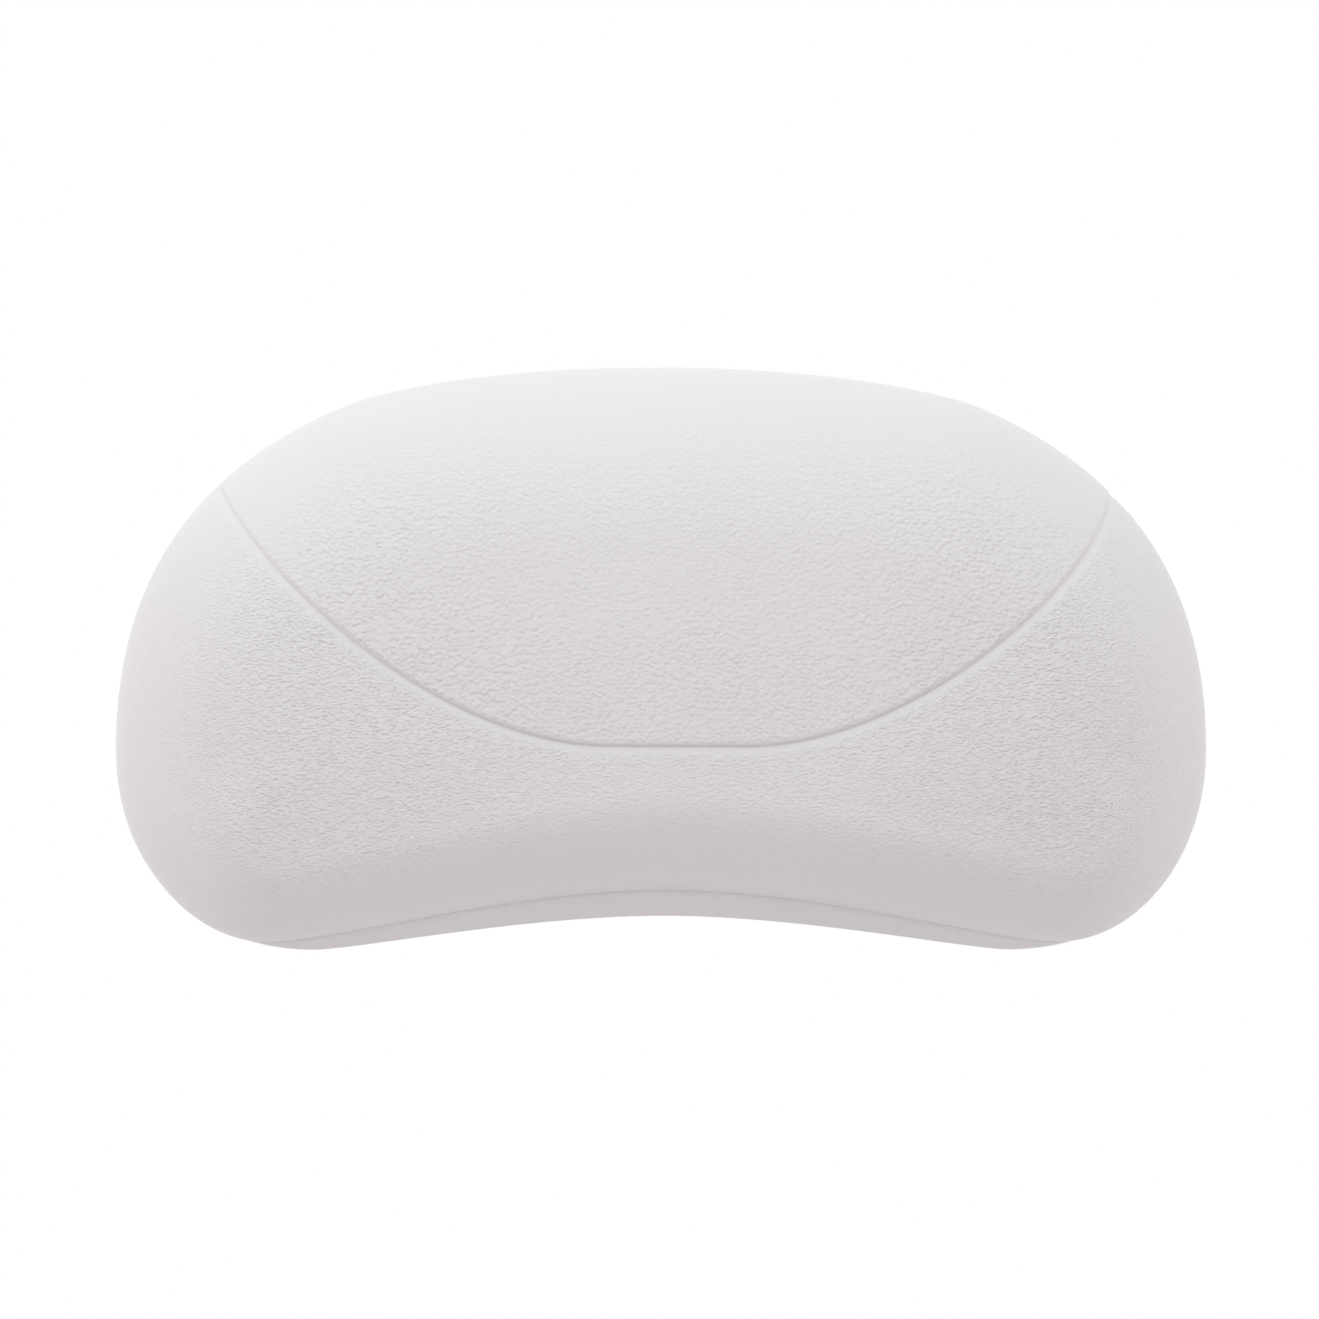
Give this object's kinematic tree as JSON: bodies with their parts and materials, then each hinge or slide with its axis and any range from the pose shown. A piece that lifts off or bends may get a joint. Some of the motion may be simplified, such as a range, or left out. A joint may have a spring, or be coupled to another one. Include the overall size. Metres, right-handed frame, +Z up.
{
  "type": "bath pillow",
  "caption": "Kidney-shaped soft foam headrest with a curved channel across its front, a ledge along its lower edge and screw-in suction cups in round wells at the back.",
  "frame": {"origin": "midway between the two suction cups, on the wall plane that their lips touch", "axes": "+X to the right seen from the front, +Z up, +Y into the wall; the front faces -Y"},
  "size_m": [0.3106, 0.061, 0.1654],
  "materials": {
    "white_skin": "white self-skinned polyurethane with a fine leather grain, satin",
    "cream_foam": "soft open polyurethane foam",
    "grey_board": "matte moulded plastic",
    "zinc_steel": "zinc-plated steel",
    "nylon": "natural nylon",
    "clear_vinyl": "clear soft vinyl, glossy"
  },
  "bodies": {
    "cushion": {"front_skin": "white_skin", "back_skin": "white_skin", "foam_core": "cream_foam", "backing_board": "grey_board", "left_tee_nut": "zinc_steel", "right_tee_nut": "zinc_steel"},
    "left_washer": {"left_washer": "nylon"},
    "left_cup": {"left_suction_cup": "clear_vinyl", "left_stud": "zinc_steel"},
    "right_washer": {"right_washer": "nylon"},
    "right_cup": {"right_suction_cup": "clear_vinyl", "right_stud": "zinc_steel"}
  },
  "joints": [
    {"name": "left_screw_travel", "type": "slide", "parent": "cushion", "child": "left_washer", "axis": [0, 1, 0], "range_m": [0, 0.008]},
    {"name": "left_cup_turn", "type": "hinge", "parent": "left_washer", "child": "left_cup", "pos_m": [-0.08, 0, 0], "axis": [0, 1, 0], "range_deg": [0, 3600]},
    {"name": "right_screw_travel", "type": "slide", "parent": "cushion", "child": "right_washer", "axis": [0, 1, 0], "range_m": [0, 0.008]},
    {"name": "right_cup_turn", "type": "hinge", "parent": "right_washer", "child": "right_cup", "pos_m": [0.08, 0, 0], "axis": [0, 1, 0], "range_deg": [0, 3600]}
  ],
  "couplings": [
    {"joint": "left_screw_travel", "follows": "left_cup_turn", "m_per_rad": 0.00012732},
    {"joint": "right_screw_travel", "follows": "right_cup_turn", "m_per_rad": 0.00012732}
  ]
}
